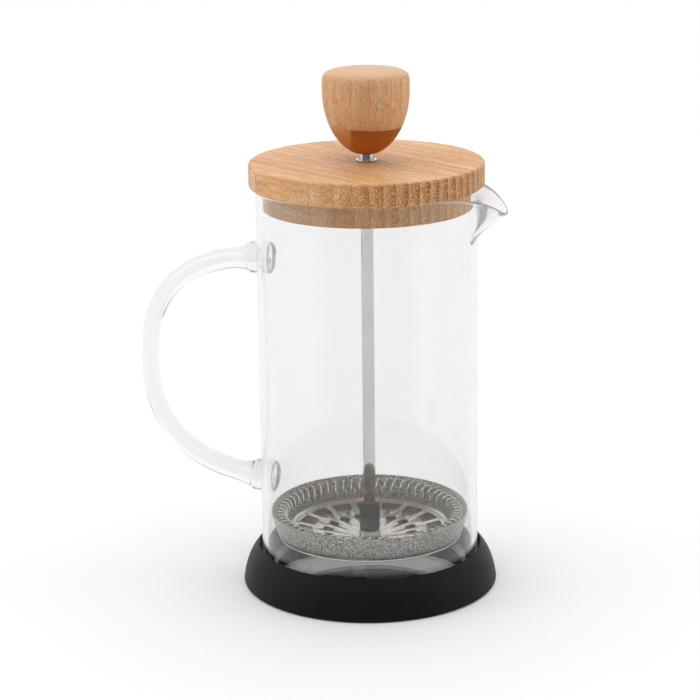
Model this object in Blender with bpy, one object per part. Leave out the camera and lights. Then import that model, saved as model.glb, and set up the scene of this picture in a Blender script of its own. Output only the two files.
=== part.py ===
"""French press: a glass beaker in a silicone base, a bamboo lid, and a plunger with a mesh filter.

The origin is the centre of the base's underside and +Z is up. The spout points along +X and the handle
along -X. Every moving piece turns or slides on the Z axis, and the plunger stands fully pressed down.
"""

import math

import bmesh
import bpy
from mathutils import Vector

for old in list(bpy.data.objects):
    bpy.data.objects.remove(old, do_unlink=True)

# Driving dimensions, in metres.
MM = 0.001
GAP = 0.3 * MM  # between faces that touch on the real press

# Glass beaker
GLASS_RADIUS = 44.0 * MM
GLASS_WALL = 2.2 * MM
GLASS_FLOOR = 2.6 * MM
GLASS_CORNER = 7.0 * MM  # outer round between the floor and the wall
GLASS_HEIGHT = 161.0 * MM

SPOUT_REACH = 14.4 * MM  # how far the lip stands out from the wall
SPOUT_TIP_RADIUS = 6.2 * MM  # round of the tip, seen from above
SPOUT_DIP = 7.6 * MM  # how far the tip drops below the rim
SPOUT_DEPTH = 18.0 * MM  # height of wall that is drawn out
SPOUT_FADE = 30.0 * MM  # height of wall over which the dip fades
SPOUT_CURL = 1.4  # curve of the underside, 1 for a straight chute
SPOUT_DIP_CURVE = 2.2  # how late the rim starts to dip towards the tip
SPOUT_ROOT_CURVE = 0.3  # how fast the chute gets shallow to its sides
SPOUT_CROWDING = 0.35  # crowds the wall's sides towards the spout

HANDLE_REACH = 51.9 * MM  # wall to the rod's centreline, at its furthest
HANDLE_TOP = 32.3 * MM  # rim down to the upper joint's centre
HANDLE_FOOT = 35.9 * MM  # beaker's underside up to the lower joint's centre
HANDLE_RADIUS = 3.6 * MM
HANDLE_END_RADIUS = 4.2 * MM
HANDLE_FLARE = 2.2 * MM  # extra radius where the rod is fused to the wall
HANDLE_FLARE_LENGTH = 4.5 * MM
HANDLE_SQUARENESS = 2.41  # exponent of the loop, 2 for an ellipse
HANDLE_ROOT = 4.0 * MM  # the loop's centre lies this far inside the wall

# Silicone base
BASE_FLOOR = 3.0 * MM
BASE_HEIGHT = 16.0 * MM
BASE_FLARE = 8.3 * MM  # foot radius beyond the glass
BASE_LIP = 1.9 * MM  # lip radius beyond the glass
BASE_TAPER = 0.15  # slope of the lower side
BASE_EDGE = 2.6 * MM  # round under the foot
BASE_MOUTH = 0.8 * MM  # chamfer inside the lip

# Bamboo lid
LID_OVERHANG = 2.5 * MM
LID_THICKNESS = 9.4 * MM
LID_EDGE = 1.2 * MM
PLUG_CLEARANCE = 0.8 * MM
PLUG_DEPTH = 8.4 * MM
PLUG_EDGE = 0.8 * MM

# Guide bush in the lid
BUSH_CLEARANCE = 0.15 * MM
BUSH_WALL = 0.7 * MM
BUSH_RISE = 3.2 * MM  # above the lid
BUSH_FLANGE = 0.7 * MM
BUSH_FLANGE_THICKNESS = 0.5 * MM

# Rod
ROD_RADIUS = 2.5 * MM
THREAD_RADIUS = 2.1 * MM
ROD_TOP_THREAD = 10.0 * MM
ROD_LOWER_THREAD = 6.0 * MM

# Knob
KNOB_RADIUS = 17.15 * MM
KNOB_TOP_HEIGHT = 8.2 * MM  # above the widest ring
KNOB_LOWER_HEIGHT = 25.6 * MM  # half height of the lower half-ellipse
KNOB_FLAT_DEPTH = 24.5 * MM  # widest ring down to the flat underside
KNOB_SHOULDER = (6.0, 5.0)  # exponents of the rounded top
INSERT_RADIUS = 3.1 * MM
INSERT_LENGTH = 11.5 * MM
INSERT_GROOVE = 0.4 * MM

# Coupling between the rod and the filter
HUB_RADIUS = 4.15 * MM
HUB_LENGTH = 12.3 * MM
HUB_CHAMFER = 0.8 * MM
COLLAR_RADIUS = 4.6 * MM
COLLAR_LENGTH = 2.7 * MM
COLLAR_EDGE = 0.3 * MM
STUD_HEAD_RADIUS = 4.6 * MM
STUD_HEAD_THICKNESS = 1.8 * MM
STUD_REACH = 4.4 * MM  # how far the stud screws into the hub

# Filter plates
FILTER_CLEARANCE = 1.6 * MM  # beaker wall to the mesh rim
FILTER_REST = 10.0 * MM  # beaker floor to the cross plate, fully pressed
FILTER_RIM_HEIGHT = 14.1 * MM  # mesh rim above the mesh's underside at the centre
CROSS_THICKNESS = 0.8 * MM
MESH_THICKNESS = 0.35 * MM
SPIRAL_THICKNESS = 0.7 * MM
DISH_INNER = 6.0 * MM  # flat centre of all three plates
SPIRAL_SLOPE = 0.175
DISH_SLOPE = 0.112  # of the mesh and the cross plate
DISH_OUTER = 7.3 * MM  # width of the steeper border, inside the mesh rim
DISH_OUTER_SLOPE = 0.35
MESH_DRAFT = 2.4 * MM  # how much narrower the cup is at its foot
MESH_CORNER = 3.0 * MM
SPIRAL_BORDER = 7.3 * MM  # mesh rim to the spiral plate's raised rim
SPIRAL_RIM_HEIGHT = 1.1 * MM

WINDOW_COUNT = 16
WINDOW_INNER = 23.4 * MM
WINDOW_OUTER = 29.4 * MM
WINDOW_BRIDGE = 2.6 * MM  # metal between two windows
WINDOW_ROUND = 1.4 * MM
WINDOW_BOW = 1.03  # how far the outer side swells past its corners' circle
HOLE_COUNT = 16
HOLE_CIRCLE = 17.2 * MM
HOLE_RADIUS = 2.2 * MM
HOLE_SIDES = 8
CROSS_ARMS = 6
CROSS_ARM_WIDTH = 5.0 * MM
CROSS_HUB_RADIUS = 8.5 * MM
CROSS_RIM_WIDTH = 4.5 * MM
CROSS_INSET = 0.5 * MM  # inside the foot of the mesh cup
CUTTER_HEIGHT = 20.0 * MM  # clear of every dished plate

# Edge spring
SPRING_COILS = 60
SPRING_COIL_STEPS = 6
SPRING_WIRE = 0.45 * MM  # wire radius
SPRING_HALF_HEIGHT = 3.8 * MM
SPRING_LIFT = 9.9 * MM  # coil centre above the mesh's underside at the centre

BIG_SIDES = 60  # sides of the large rounds
PLATE_SIDES = 48
SMALL_SIDES = 24
KNOB_SIDES = 40
KNOB_STEPS = 9
HANDLE_SIDES = 12
HANDLE_STEPS = 40
SPOUT_STEPS = 10
BASE_STEPS = 5
MERGE = 0.001 * MM

# Heights and radii that follow from the driving dimensions.
glass_z = BASE_FLOOR + GAP
rim_z = glass_z + GLASS_HEIGHT
bore_radius = GLASS_RADIUS - GLASS_WALL
lid_z = rim_z + GAP
lid_top = lid_z + LID_THICKNESS
plug_radius = bore_radius - PLUG_CLEARANCE
bush_bore = ROD_RADIUS + BUSH_CLEARANCE
bush_radius = bush_bore + BUSH_WALL
bush_top = lid_top + BUSH_RISE
knob_z = bush_top + GAP
thread_bore = THREAD_RADIUS + GAP

cross_z = glass_z + GLASS_FLOOR + FILTER_REST
mesh_z = cross_z + CROSS_THICKNESS + GAP
spiral_z = mesh_z + MESH_THICKNESS + GAP
collar_z = spiral_z + SPIRAL_THICKNESS + GAP
hub_z = collar_z + COLLAR_LENGTH + GAP
mesh_radius = bore_radius - FILTER_CLEARANCE
spiral_radius = mesh_radius - SPIRAL_BORDER


def rounded(corners, steps=4):
    """Return the outline through corners (r, z, fillet radius), with each fillet drawn as an arc."""
    points = []
    count = len(corners)
    for index, (r, z, fillet) in enumerate(corners):
        here = Vector((r, z))
        if not fillet:
            points.append((r, z))
            continue
        back = Vector(corners[index - 1][:2]) - here
        ahead = Vector(corners[(index + 1) % count][:2]) - here
        half = back.angle(ahead) / 2
        fillet = min(fillet, 0.9 * min(back.length, ahead.length) * math.tan(half))
        middle = here + (back.normalized() + ahead.normalized()).normalized() * fillet / math.sin(half)
        start = here + back.normalized() * fillet / math.tan(half) - middle
        turn = start.angle_signed(here + ahead.normalized() * fillet / math.tan(half) - middle)
        for step in range(steps + 1):
            angle = -turn * step / steps
            cosine = math.cos(angle)
            sine = math.sin(angle)
            points.append((middle.x + start.x * cosine - start.y * sine,
                           middle.y + start.x * sine + start.y * cosine))
    return points


def new_material(name, colour, roughness, metallic=0.0, alpha=1.0):
    material = bpy.data.materials.new(name)
    material.use_nodes = True
    shader = material.node_tree.nodes["Principled BSDF"]
    shader.inputs["Base Color"].default_value = (*colour, 1.0)
    shader.inputs["Roughness"].default_value = roughness
    shader.inputs["Metallic"].default_value = metallic
    shader.inputs["Alpha"].default_value = alpha
    return material


def new_frame(name, height):
    """Add the empty that carries the pieces of one moving body."""
    frame = bpy.data.objects.new(name, None)
    frame.location.z = height
    bpy.context.collection.objects.link(frame)
    return frame


def finish(name, solid, material, height=0.0, parent=None):
    """Close the bmesh into a smooth-shaded object, placed by its own height above its parent."""
    bmesh.ops.remove_doubles(solid, verts=solid.verts, dist=MERGE)
    bmesh.ops.recalc_face_normals(solid, faces=solid.faces)
    mesh = bpy.data.meshes.new(name)
    solid.to_mesh(mesh)
    solid.free()
    mesh.shade_smooth()
    mesh.set_sharp_from_angle(angle=math.radians(35))
    mesh.materials.append(material)
    thing = bpy.data.objects.new(name, mesh)
    bpy.context.collection.objects.link(thing)
    thing.location.z = height
    thing.parent = parent
    return thing


def turn_solid(outline, sides):
    """Spin an outline about Z. It runs from axis to axis, or is a closed loop clear of the axis."""
    solid = bmesh.new()
    points = [solid.verts.new((r, 0, z)) for r, z in outline]
    loop = points if outline[0][0] == 0 else points + points[:1]
    edges = [solid.edges.new(pair) for pair in zip(loop, loop[1:])]
    bmesh.ops.spin(solid, geom=points + edges, cent=(0, 0, 0), axis=(0, 0, 1),
                   angle=math.tau, steps=sides, use_merge=True)
    return solid


def turned(name, outline, sides, material, height=0.0, parent=None):
    return finish(name, turn_solid(outline, sides), material, height, parent)


def prism(solid, outline, low, high):
    """Add a straight prism over a closed outline of (x, y) points."""
    bottom = [solid.verts.new((x, y, low)) for x, y in outline]
    face = solid.faces.new(bottom)
    raised = bmesh.ops.extrude_face_region(solid, geom=[face])["geom"]
    for vertex in [item for item in raised if isinstance(item, bmesh.types.BMVert)]:
        vertex.co.z = high


def rotated(outline, angle):
    cosine = math.cos(angle)
    sine = math.sin(angle)
    return [(x * cosine - y * sine, x * sine + y * cosine) for x, y in outline]


def cut(thing, cutter_solid, cutter_name):
    """Subtract a hidden cutter, which moves with the piece it cuts."""
    cutter = finish(cutter_name, cutter_solid, thing.data.materials[0])
    cutter.parent = thing
    cutter.hide_render = True
    cutter.display_type = "WIRE"
    boolean = thing.modifiers.new(cutter_name, "BOOLEAN")
    boolean.operation = "DIFFERENCE"
    boolean.solver = "EXACT"
    boolean.object = cutter


def swept(solid, path, radii, sides, closed=False):
    """Add an open tube along a path of points, with one radius for each point, and return its rings."""
    count = len(path)
    rings = []
    side = Vector((0, 1, 0))
    for index, point in enumerate(path):
        before = path[index - 1] if index or closed else path[0]
        after = path[(index + 1) % count] if index < count - 1 or closed else path[-1]
        along = (after - before).normalized()
        side = (side - along * side.dot(along)).normalized()
        up = along.cross(side)
        ring = []
        for step in range(sides):
            angle = math.tau * step / sides
            spoke = side * math.cos(angle) + up * math.sin(angle)
            ring.append(solid.verts.new(point + spoke * radii[index]))
        rings.append(ring)
    for first, second in zip(rings, rings[1:] + (rings[:1] if closed else [])):
        for step in range(sides):
            after = (step + 1) % sides
            solid.faces.new((first[step], first[after], second[after], second[step]))
    return rings


def spout_bulge(angle):
    """Return how far the lip stands out at an angle from +X: straight flanks that meet a round tip."""
    tip_centre = GLASS_RADIUS + SPOUT_REACH - SPOUT_TIP_RADIUS
    flank = math.acos((GLASS_RADIUS - SPOUT_TIP_RADIUS) / tip_centre)
    angle = abs(angle)
    tip_edge = math.atan2(SPOUT_TIP_RADIUS * math.sin(flank),
                          tip_centre + SPOUT_TIP_RADIUS * math.cos(flank))
    if angle >= flank:
        return 0.0
    if angle >= tip_edge:
        return GLASS_RADIUS / math.cos(flank - angle) - GLASS_RADIUS
    across = tip_centre * math.cos(angle)
    return across + math.sqrt(across ** 2 - tip_centre ** 2 + SPOUT_TIP_RADIUS ** 2) - GLASS_RADIUS


def draw_out_spout(solid):
    """Draw the top of a turned wall out into the lip."""
    for vertex in solid.verts:
        radius = math.hypot(vertex.co.x, vertex.co.y)
        angle = math.atan2(vertex.co.y, vertex.co.x)
        angle -= SPOUT_CROWDING * math.sin(angle)
        depth = GLASS_HEIGHT - vertex.co.z
        share = spout_bulge(angle) / SPOUT_REACH
        if share > 0 and radius > bore_radius - MERGE:
            chute = max(0.0, 1 - depth / (SPOUT_DEPTH * share ** SPOUT_ROOT_CURVE))
            radius += SPOUT_REACH * share * chute ** SPOUT_CURL
            vertex.co.z -= SPOUT_DIP * share ** SPOUT_DIP_CURVE * max(0.0, 1 - depth / SPOUT_FADE)
        vertex.co.x = radius * math.cos(angle)
        vertex.co.y = radius * math.sin(angle)


def build_beaker():
    zone = [GLASS_HEIGHT - SPOUT_FADE * (1 - step / SPOUT_STEPS) for step in range(SPOUT_STEPS)]
    rim = GLASS_WALL / 2
    outline = [(0, 0), (GLASS_RADIUS * 0.5, 0)]
    outline += rounded([(0, 0, 0), (GLASS_RADIUS, 0, GLASS_CORNER), (GLASS_RADIUS, zone[0], 0)])[1:-1]
    outline += [(GLASS_RADIUS, z) for z in zone]
    for step in range(5):
        angle = math.pi * step / 4
        outline.append((GLASS_RADIUS - rim + rim * math.cos(angle),
                        GLASS_HEIGHT - rim + rim * math.sin(angle)))
    outline += [(bore_radius, z) for z in reversed(zone)]
    inner_corner = GLASS_CORNER - GLASS_WALL
    outline += rounded([(bore_radius, zone[0], 0), (bore_radius, GLASS_FLOOR, inner_corner),
                        (0, GLASS_FLOOR, 0)])[1:-1]
    outline += [(bore_radius * 0.5, GLASS_FLOOR), (0, GLASS_FLOOR)]
    solid = turn_solid(outline, BIG_SIDES)
    draw_out_spout(solid)
    return finish("glass_beaker", solid, glass, glass_z)


def build_handle():
    """Bend the glass rod into a loop whose flared ends follow the curve of the wall."""
    power = 2 / HANDLE_SQUARENESS
    centre = GLASS_RADIUS - HANDLE_ROOT
    reach = HANDLE_REACH + HANDLE_ROOT
    seat = GLASS_RADIUS + GAP
    half_height = (GLASS_HEIGHT - HANDLE_TOP - HANDLE_FOOT) / 2
    end_angle = math.acos(((seat - centre) / reach) ** (1 / power))
    path = []
    radii = []
    for step in range(HANDLE_STEPS + 1):
        angle = end_angle * math.sin(math.pi * (step / HANDLE_STEPS - 0.5))
        out = centre + reach * math.cos(angle) ** power
        rise = math.copysign(half_height * abs(math.sin(angle)) ** power, angle)
        flare = max(0.0, 1 - (out - seat) / HANDLE_FLARE_LENGTH) ** 2
        swell = abs(math.sin(angle)) ** 4
        path.append(Vector((-out, 0, rise)))
        radii.append(HANDLE_RADIUS + (HANDLE_END_RADIUS - HANDLE_RADIUS) * swell + HANDLE_FLARE * flare)
    solid = bmesh.new()
    rings = swept(solid, path, radii, HANDLE_SIDES)
    for ring, centre_point in ((rings[0], path[0]), (rings[-1], path[-1])):
        for vertex in ring:
            vertex.co.x = -math.sqrt(seat ** 2 - vertex.co.y ** 2)
        middle = solid.verts.new(centre_point)
        for first, second in zip(ring, ring[1:] + ring[:1]):
            solid.faces.new((first, second, middle))
    return finish("glass_handle", solid, glass, glass_z + HANDLE_FOOT + half_height)


def build_base():
    foot = GLASS_RADIUS + BASE_FLARE
    lip = GLASS_RADIUS + BASE_LIP
    bore = GLASS_RADIUS + GAP
    crest = BASE_HEIGHT - BASE_EDGE
    drop = foot - lip - BASE_TAPER * crest
    side = []
    for step in range(1, BASE_STEPS + 1):
        share = step / BASE_STEPS
        side.append((foot - BASE_TAPER * crest * share - drop * share ** 3, crest * share, 0))
    corners = [(0, 0, 0), (foot, 0, BASE_EDGE)]
    corners += side
    corners += [(lip - 0.2 * BASE_LIP, BASE_HEIGHT, 0), (bore + BASE_MOUTH, BASE_HEIGHT, 0),
                (bore, BASE_HEIGHT - 2 * BASE_MOUTH, 0), (bore, BASE_FLOOR, GLASS_CORNER),
                (0, BASE_FLOOR, 0)]
    return turned("silicone_base", rounded(corners, 3), BIG_SIDES, silicone)


def build_lid(frame):
    hole = bush_radius + GAP
    radius = GLASS_RADIUS + LID_OVERHANG
    disc = rounded([(hole, 0, 0), (radius, 0, LID_EDGE), (radius, LID_THICKNESS, LID_EDGE),
                    (hole, LID_THICKNESS, 0)], 3)
    turned("lid_disc", disc, BIG_SIDES, bamboo, 0, frame)
    plug = rounded([(hole, 0, 0), (plug_radius, 0, PLUG_EDGE), (plug_radius, PLUG_DEPTH, 0),
                    (hole, PLUG_DEPTH, 0)], 3)
    turned("lid_plug", plug, BIG_SIDES, bamboo, -GAP - PLUG_DEPTH, frame)


def build_bush(frame):
    """Flanged sleeve through the lid: the rod slides and turns in it."""
    flange_z = LID_THICKNESS + GAP
    top = LID_THICKNESS + BUSH_RISE
    flange = bush_radius + BUSH_FLANGE
    foot = -GAP - PLUG_DEPTH
    outline = [(bush_bore, foot), (bush_radius, foot), (bush_radius, flange_z), (flange, flange_z),
               (flange, flange_z + BUSH_FLANGE_THICKNESS), (bush_radius, flange_z + BUSH_FLANGE_THICKNESS),
               (bush_radius, top), (bush_bore, top)]
    turned("guide_bush", outline, SMALL_SIDES, polished_steel, 0, frame)


def build_knob(frame):
    """Wooden knob with a blind hole, and the threaded insert that is glued into it."""
    hole = INSERT_RADIUS + GAP
    hole_depth = INSERT_LENGTH + 2 * GAP
    body = [(0, hole_depth), (hole, hole_depth), (hole, 0)]
    for step in range(KNOB_STEPS + 1):
        drop = KNOB_FLAT_DEPTH * (1 - math.sin(math.pi / 2 * step / KNOB_STEPS))
        body.append((KNOB_RADIUS * math.sqrt(1 - (drop / KNOB_LOWER_HEIGHT) ** 2), KNOB_FLAT_DEPTH - drop))
    rise, roundness = KNOB_SHOULDER
    for share in (0.35, 0.6, 0.75, 0.86, 0.94, 0.985):
        radius = KNOB_RADIUS * (1 - share ** rise) ** (1 / roundness)
        body.append((radius, KNOB_FLAT_DEPTH + KNOB_TOP_HEIGHT * share))
    body.append((0, KNOB_FLAT_DEPTH + KNOB_TOP_HEIGHT))
    turned("knob", body, KNOB_SIDES, knob_bamboo, 0, frame)
    groove = INSERT_RADIUS - INSERT_GROOVE
    third = INSERT_LENGTH / 3
    insert = [(thread_bore, 0), (INSERT_RADIUS, 0), (INSERT_RADIUS, third),
              (groove, third + INSERT_GROOVE), (groove, 2 * third - INSERT_GROOVE),
              (INSERT_RADIUS, 2 * third), (INSERT_RADIUS, INSERT_LENGTH), (thread_bore, INSERT_LENGTH)]
    turned("knob_insert", insert, SMALL_SIDES, brass, GAP, frame)


def build_rod(frame):
    """Plunger rod, with a thinner threaded end in the knob's insert and another in the hub."""
    shoulder = 0  # level with the knob's underside, just under the insert
    hub_top = hub_z + HUB_LENGTH - knob_z
    outline = [(0, hub_top - ROD_LOWER_THREAD), (THREAD_RADIUS, hub_top - ROD_LOWER_THREAD),
               (THREAD_RADIUS, hub_top + GAP), (ROD_RADIUS, hub_top + GAP), (ROD_RADIUS, shoulder),
               (THREAD_RADIUS, shoulder), (THREAD_RADIUS, ROD_TOP_THREAD), (0, ROD_TOP_THREAD)]
    turned("plunger_rod", outline, SMALL_SIDES, polished_steel, 0, frame)
    hub = [(thread_bore, 0), (HUB_RADIUS, 0), (HUB_RADIUS, HUB_LENGTH - HUB_CHAMFER),
           (HUB_RADIUS - HUB_CHAMFER, HUB_LENGTH), (thread_bore, HUB_LENGTH)]
    turned("rod_hub", hub, SMALL_SIDES, brushed_steel, hub_z - knob_z, frame)


def dish(radius):
    """Return how far the mesh and the cross plate rise towards their rims at a radius."""
    steep = mesh_radius - DISH_OUTER
    inner_rise = DISH_SLOPE * max(0.0, min(radius, steep) - DISH_INNER)
    return inner_rise + DISH_OUTER_SLOPE * max(0.0, radius - steep)


def plate_outline(radii, thickness):
    """Return the closed outline of a dished plate, from its hole's radius out to its rim."""
    under = [(radius, dish(radius)) for radius in radii]
    upper = [(radius, dish(radius) + thickness) for radius in reversed(radii)]
    return under + upper


def arc_slot(inner, outer, half_angle, bridge):
    """Return the corners of a window between two radii, with bridges of even width at its sides."""
    inner_angle = half_angle - bridge / 2 / inner
    outer_angle = half_angle - bridge / 2 / outer
    return [(inner * math.cos(-inner_angle), inner * math.sin(-inner_angle), WINDOW_ROUND),
            (outer * math.cos(-outer_angle), outer * math.sin(-outer_angle), WINDOW_ROUND),
            (outer * WINDOW_BOW, 0, 2 * WINDOW_ROUND),
            (outer * math.cos(outer_angle), outer * math.sin(outer_angle), WINDOW_ROUND),
            (inner * math.cos(inner_angle), inner * math.sin(inner_angle), WINDOW_ROUND)]


def build_cross_plate(frame):
    """Lower plate: a small hub and a rim, joined by arms."""
    rim = mesh_radius - MESH_DRAFT - CROSS_INSET
    steep = mesh_radius - DISH_OUTER
    plate = turned("cross_plate", plate_outline([thread_bore, DISH_INNER, steep, rim], CROSS_THICKNESS),
                   PLATE_SIDES, brushed_steel, 0, frame)
    windows = bmesh.new()
    half = math.pi / CROSS_ARMS
    window = rounded(arc_slot(CROSS_HUB_RADIUS, rim - CROSS_RIM_WIDTH, half, CROSS_ARM_WIDTH), 2)
    for index in range(CROSS_ARMS):
        prism(windows, rotated(window, half * (2 * index + 1)), -CROSS_THICKNESS, CUTTER_HEIGHT)
    cut(plate, windows, "cross_window_cutter")
    under_stud = -GAP - STUD_HEAD_THICKNESS
    stud_top = hub_z + STUD_REACH - cross_z
    stud = [(0, under_stud), (STUD_HEAD_RADIUS, under_stud), (STUD_HEAD_RADIUS, -GAP),
            (THREAD_RADIUS, -GAP), (THREAD_RADIUS, stud_top), (0, stud_top)]
    turned("cross_plate_stud", stud, SMALL_SIDES, polished_steel, 0, frame)


def build_mesh_cup(frame):
    """Fine mesh disc, pressed into a cup that carries the edge spring."""
    foot = mesh_radius - MESH_DRAFT
    steep = mesh_radius - DISH_OUTER
    inner = [(thread_bore, MESH_THICKNESS, 0), (DISH_INNER, MESH_THICKNESS, 0),
             (steep, dish(steep) + MESH_THICKNESS, 0),
             (foot - MESH_THICKNESS, dish(foot) + MESH_THICKNESS, MESH_CORNER - MESH_THICKNESS),
             (mesh_radius - MESH_THICKNESS, FILTER_RIM_HEIGHT, 0)]
    outer = [(mesh_radius, FILTER_RIM_HEIGHT, 0), (foot, dish(foot), MESH_CORNER), (steep, dish(steep), 0),
             (DISH_INNER, 0, 0), (thread_bore, 0, 0)]
    turned("filter_mesh", rounded(inner + outer, 2), PLATE_SIDES, mesh_steel, mesh_z - cross_z, frame)


def build_spiral_plate(frame):
    """Upper plate: a dished disc with windows, small holes and a raised rim that holds the spring out."""
    rim = spiral_radius
    wall = rim - SPIRAL_THICKNESS
    foot = wall - SPIRAL_THICKNESS
    rise = SPIRAL_SLOPE * (rim - DISH_INNER)
    inner_rise = SPIRAL_SLOPE * (foot - DISH_INNER)
    outline = [(thread_bore, 0), (DISH_INNER, 0), (rim, rise), (rim, rise + SPIRAL_RIM_HEIGHT),
               (wall, rise + SPIRAL_RIM_HEIGHT), (foot, inner_rise + SPIRAL_THICKNESS),
               (DISH_INNER, SPIRAL_THICKNESS), (thread_bore, SPIRAL_THICKNESS)]
    plate = turned("spiral_plate", outline, PLATE_SIDES, brushed_steel, spiral_z - cross_z, frame)
    openings = bmesh.new()
    half = math.pi / WINDOW_COUNT
    window = rounded(arc_slot(WINDOW_INNER, WINDOW_OUTER, half, WINDOW_BRIDGE), 2)
    for index in range(WINDOW_COUNT):
        prism(openings, rotated(window, half * 2 * index), -SPIRAL_THICKNESS, CUTTER_HEIGHT)
    hole = []
    for side in range(HOLE_SIDES):
        turn = math.tau * side / HOLE_SIDES
        hole.append((HOLE_CIRCLE + HOLE_RADIUS * math.cos(turn), HOLE_RADIUS * math.sin(turn)))
    for index in range(HOLE_COUNT):
        turn = math.tau * (index + 0.5) / HOLE_COUNT
        prism(openings, rotated(hole, turn), -SPIRAL_THICKNESS, CUTTER_HEIGHT)
    cut(plate, openings, "spiral_opening_cutter")
    collar = rounded([(thread_bore, 0, 0), (COLLAR_RADIUS, 0, 0),
                      (COLLAR_RADIUS, COLLAR_LENGTH, COLLAR_EDGE), (thread_bore, COLLAR_LENGTH, 0)], 2)
    turned("plate_collar", collar, SMALL_SIDES, polished_steel, collar_z - cross_z, frame)


def build_edge_spring(frame):
    """Coil spring bent into a ring, between the mesh cup's wall and the spiral plate's raised rim."""
    outside = mesh_radius - MESH_THICKNESS - MESH_DRAFT / 2 - GAP
    inside = spiral_radius + GAP
    ring_radius = (outside + inside) / 2
    half_width = (outside - inside) / 2 - SPRING_WIRE
    count = SPRING_COILS * SPRING_COIL_STEPS
    path = []
    for index in range(count):
        around = math.tau * index / count
        coil = math.tau * index / SPRING_COIL_STEPS
        radius = ring_radius + half_width * math.cos(coil)
        path.append(Vector((radius * math.cos(around), radius * math.sin(around),
                            SPRING_HALF_HEIGHT * math.sin(coil))))
    solid = bmesh.new()
    swept(solid, path, [SPRING_WIRE] * count, 4, closed=True)
    finish("edge_spring", solid, spring_steel, mesh_z - cross_z + SPRING_LIFT, frame)


glass = new_material("glass", (0.93, 0.96, 0.96), 0.02, alpha=0.3)
silicone = new_material("silicone", (0.012, 0.012, 0.012), 0.55)
bamboo = new_material("bamboo", (0.68, 0.43, 0.23), 0.5)
knob_bamboo = new_material("knob_bamboo", (0.6, 0.34, 0.15), 0.5)
polished_steel = new_material("polished_steel", (0.6, 0.59, 0.58), 0.15, 1.0)
brushed_steel = new_material("brushed_steel", (0.5, 0.49, 0.48), 0.3, 1.0)
mesh_steel = new_material("mesh_steel", (0.35, 0.34, 0.33), 0.45, 1.0)
spring_steel = new_material("spring_steel", (0.55, 0.54, 0.53), 0.2, 1.0)
brass = new_material("brass", (0.66, 0.47, 0.2), 0.3, 1.0)

lid_frame = new_frame("lid_frame", lid_z)
bush_frame = new_frame("bush_frame", 0)
bush_frame.parent = lid_frame
plunger_frame = new_frame("plunger_frame", knob_z - lid_z)
plunger_frame.parent = bush_frame
filter_frame = new_frame("filter_frame", cross_z - knob_z)
filter_frame.parent = plunger_frame

build_base()
build_beaker()
build_handle()
build_lid(lid_frame)
build_bush(bush_frame)
build_knob(plunger_frame)
build_rod(plunger_frame)
build_cross_plate(filter_frame)
build_mesh_cup(filter_frame)
build_spiral_plate(filter_frame)
build_edge_spring(filter_frame)
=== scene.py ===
# French press: finishes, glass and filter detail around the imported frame. Metres, +Z up, lip along +X.
import math

import bmesh
import bpy
from mathutils import Matrix, Vector


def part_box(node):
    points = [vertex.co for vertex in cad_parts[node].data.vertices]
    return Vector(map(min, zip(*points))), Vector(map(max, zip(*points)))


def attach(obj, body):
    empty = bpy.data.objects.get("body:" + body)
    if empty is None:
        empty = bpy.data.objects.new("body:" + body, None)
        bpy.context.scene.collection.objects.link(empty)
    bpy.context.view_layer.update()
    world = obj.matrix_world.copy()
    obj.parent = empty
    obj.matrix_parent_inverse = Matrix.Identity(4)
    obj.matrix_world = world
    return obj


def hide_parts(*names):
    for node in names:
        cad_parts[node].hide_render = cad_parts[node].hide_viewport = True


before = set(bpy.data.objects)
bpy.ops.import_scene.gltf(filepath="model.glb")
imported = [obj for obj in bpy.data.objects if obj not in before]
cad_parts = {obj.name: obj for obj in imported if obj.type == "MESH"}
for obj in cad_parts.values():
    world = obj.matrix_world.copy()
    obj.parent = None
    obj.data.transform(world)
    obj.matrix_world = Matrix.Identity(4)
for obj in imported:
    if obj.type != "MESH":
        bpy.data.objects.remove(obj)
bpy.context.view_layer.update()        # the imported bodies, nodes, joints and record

mm = 0.001
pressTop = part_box("knob")[1].z
print("frame loaded:", len(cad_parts), "nodes")


# camera
camera = {
    "azimuth": 20.0,       # degrees from straight in front, towards the lip
    "elevation": 15.63,
    "roll": -0.66,
    "distance": 0.9693,
    "lens": 124.3,
    "aimRight": -7.28 * mm,  # aim point, to the right of the rod's axis in the view
    "aimHeight": 96.9 * mm,
}


def placeCamera():
    turn = math.radians(camera["azimuth"])
    tilt = math.radians(camera["elevation"])
    right = Vector((math.cos(turn), math.sin(turn), 0))
    back = Vector((math.sin(turn) * math.cos(tilt), -math.cos(turn) * math.cos(tilt), math.sin(tilt)))
    up = back.cross(right)
    roll = math.radians(camera["roll"])
    across = right * math.cos(roll) + up * math.sin(roll)
    aim = right * camera["aimRight"] + Vector((0, 0, camera["aimHeight"]))
    data = bpy.data.cameras.new("camera")
    data.lens = camera["lens"]
    data.clip_start = 0.01
    data.clip_end = 30
    thing = bpy.data.objects.new("camera", data)
    turned = Matrix((across, back.cross(across), back)).transposed()
    thing.matrix_world = Matrix.Translation(aim + back * camera["distance"]) @ turned.to_4x4()
    bpy.context.scene.collection.objects.link(thing)
    bpy.context.scene.camera = thing


placeCamera()


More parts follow.
